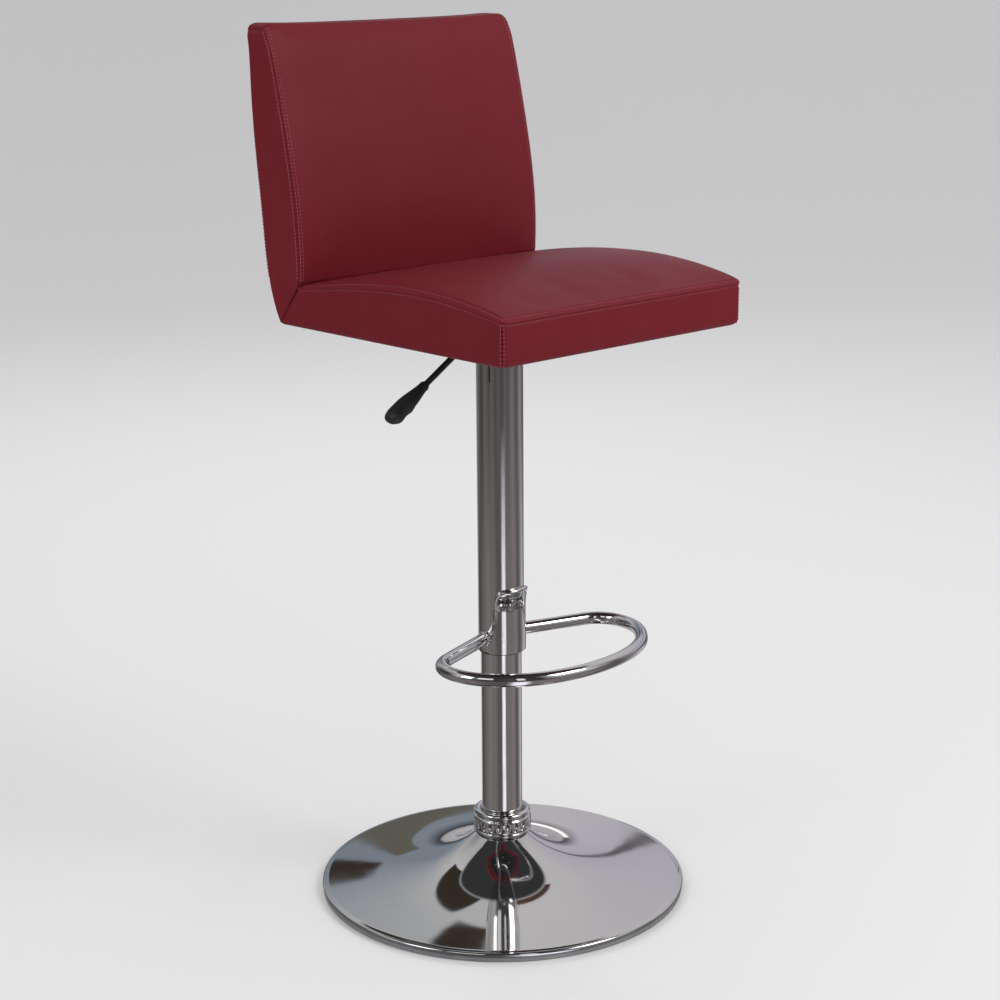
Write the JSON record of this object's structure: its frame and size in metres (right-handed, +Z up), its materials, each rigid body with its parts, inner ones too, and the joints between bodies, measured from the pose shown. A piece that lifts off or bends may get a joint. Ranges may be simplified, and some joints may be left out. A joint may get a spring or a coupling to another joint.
{
  "type": "adjustable swivel bar stool",
  "caption": "Bar stool with an upholstered seat and back on a gas lift, with a release lever, a footrest loop and a round trumpet base.",
  "frame": {"origin": "on the column's axis at floor level", "axes": "+Z up along the column; the sitter faces -Y; the release lever is on the -X side"},
  "size_m": [0.451, 0.451, 1.057],
  "materials": {
    "chrome": "polished",
    "steel": "ground",
    "zinc": "zinc plated",
    "black_paint": "satin black",
    "black_plastic": "fine moulded",
    "grey_rubber": "matte",
    "white_plastic": "moulded",
    "brass": "plain",
    "plywood": "sanded plywood",
    "foam": "soft foam",
    "vinyl": "burgundy grained vinyl",
    "black_fabric": "non-woven cloth"
  },
  "bodies": {
    "base": {"base_dish": "chrome", "floor_ring": "grey_rubber", "weight_plate": "black_paint", "column_washer": "zinc", "column_nut": "zinc", "lower_column": "chrome", "column_floor": "steel", "base_collar": "chrome", "guide_bush": "white_plastic", "bearing_race_lower": "steel", "bearing_cage": "brass"},
    "rod": {"piston_rod": "steel", "bearing_race_upper": "steel", "rod_clip": "zinc", "piston_head": "black_plastic"},
    "lever": {"lever_rod": "black_paint", "lever_grip": "black_plastic"},
    "valve": {"valve_pin": "steel"},
    "seat": {"gas_cylinder": "black_paint", "upper_sleeve": "chrome", "sleeve_ring": "black_plastic", "sleeve_top_bush": "black_plastic", "footrest_saddle": "chrome", "footrest_loop": "chrome", "mounting_plate": "black_paint", "lever_pin": "zinc", "seat_board": "plywood", "back_board": "plywood", "angle_bracket_left": "steel", "angle_bracket_right": "steel", "seat_cover": "vinyl", "seat_foam": "foam", "back_cover": "vinyl", "back_foam": "foam", "dust_cover": "black_fabric", "bracket_screw_1": "zinc", "seat_bolt_1": "zinc", "insert_nut_1": "zinc", "bracket_screw_2": "zinc", "seat_bolt_2": "zinc", "insert_nut_2": "zinc", "bracket_screw_3": "zinc", "seat_bolt_3": "zinc", "insert_nut_3": "zinc", "bracket_screw_4": "zinc", "seat_bolt_4": "zinc", "insert_nut_4": "zinc"}
  },
  "joints": [
    {"name": "seat_swivel", "type": "hinge", "parent": "base", "child": "rod", "pos_m": [0, 0, 0.03], "axis": [0, 0, 1], "continuous": true},
    {"name": "seat_height", "type": "slide", "parent": "rod", "child": "seat", "axis": [0, 0, 1], "range_m": [-0.19, 0]},
    {"name": "release_lever", "type": "hinge", "parent": "seat", "child": "lever", "pos_m": [-0.03, 0, 0.6985], "axis": [0, 1, 0], "range_deg": [0, 6], "stiffness_Nm_per_rad": 1, "springref_deg": -11.46},
    {"name": "valve_press", "type": "slide", "parent": "seat", "child": "valve", "axis": [0, 0, -1], "range_m": [0, 0.004]}
  ],
  "couplings": [
    {"joint": "valve_press", "follows": "release_lever", "m_per_rad": 0.0335}
  ]
}
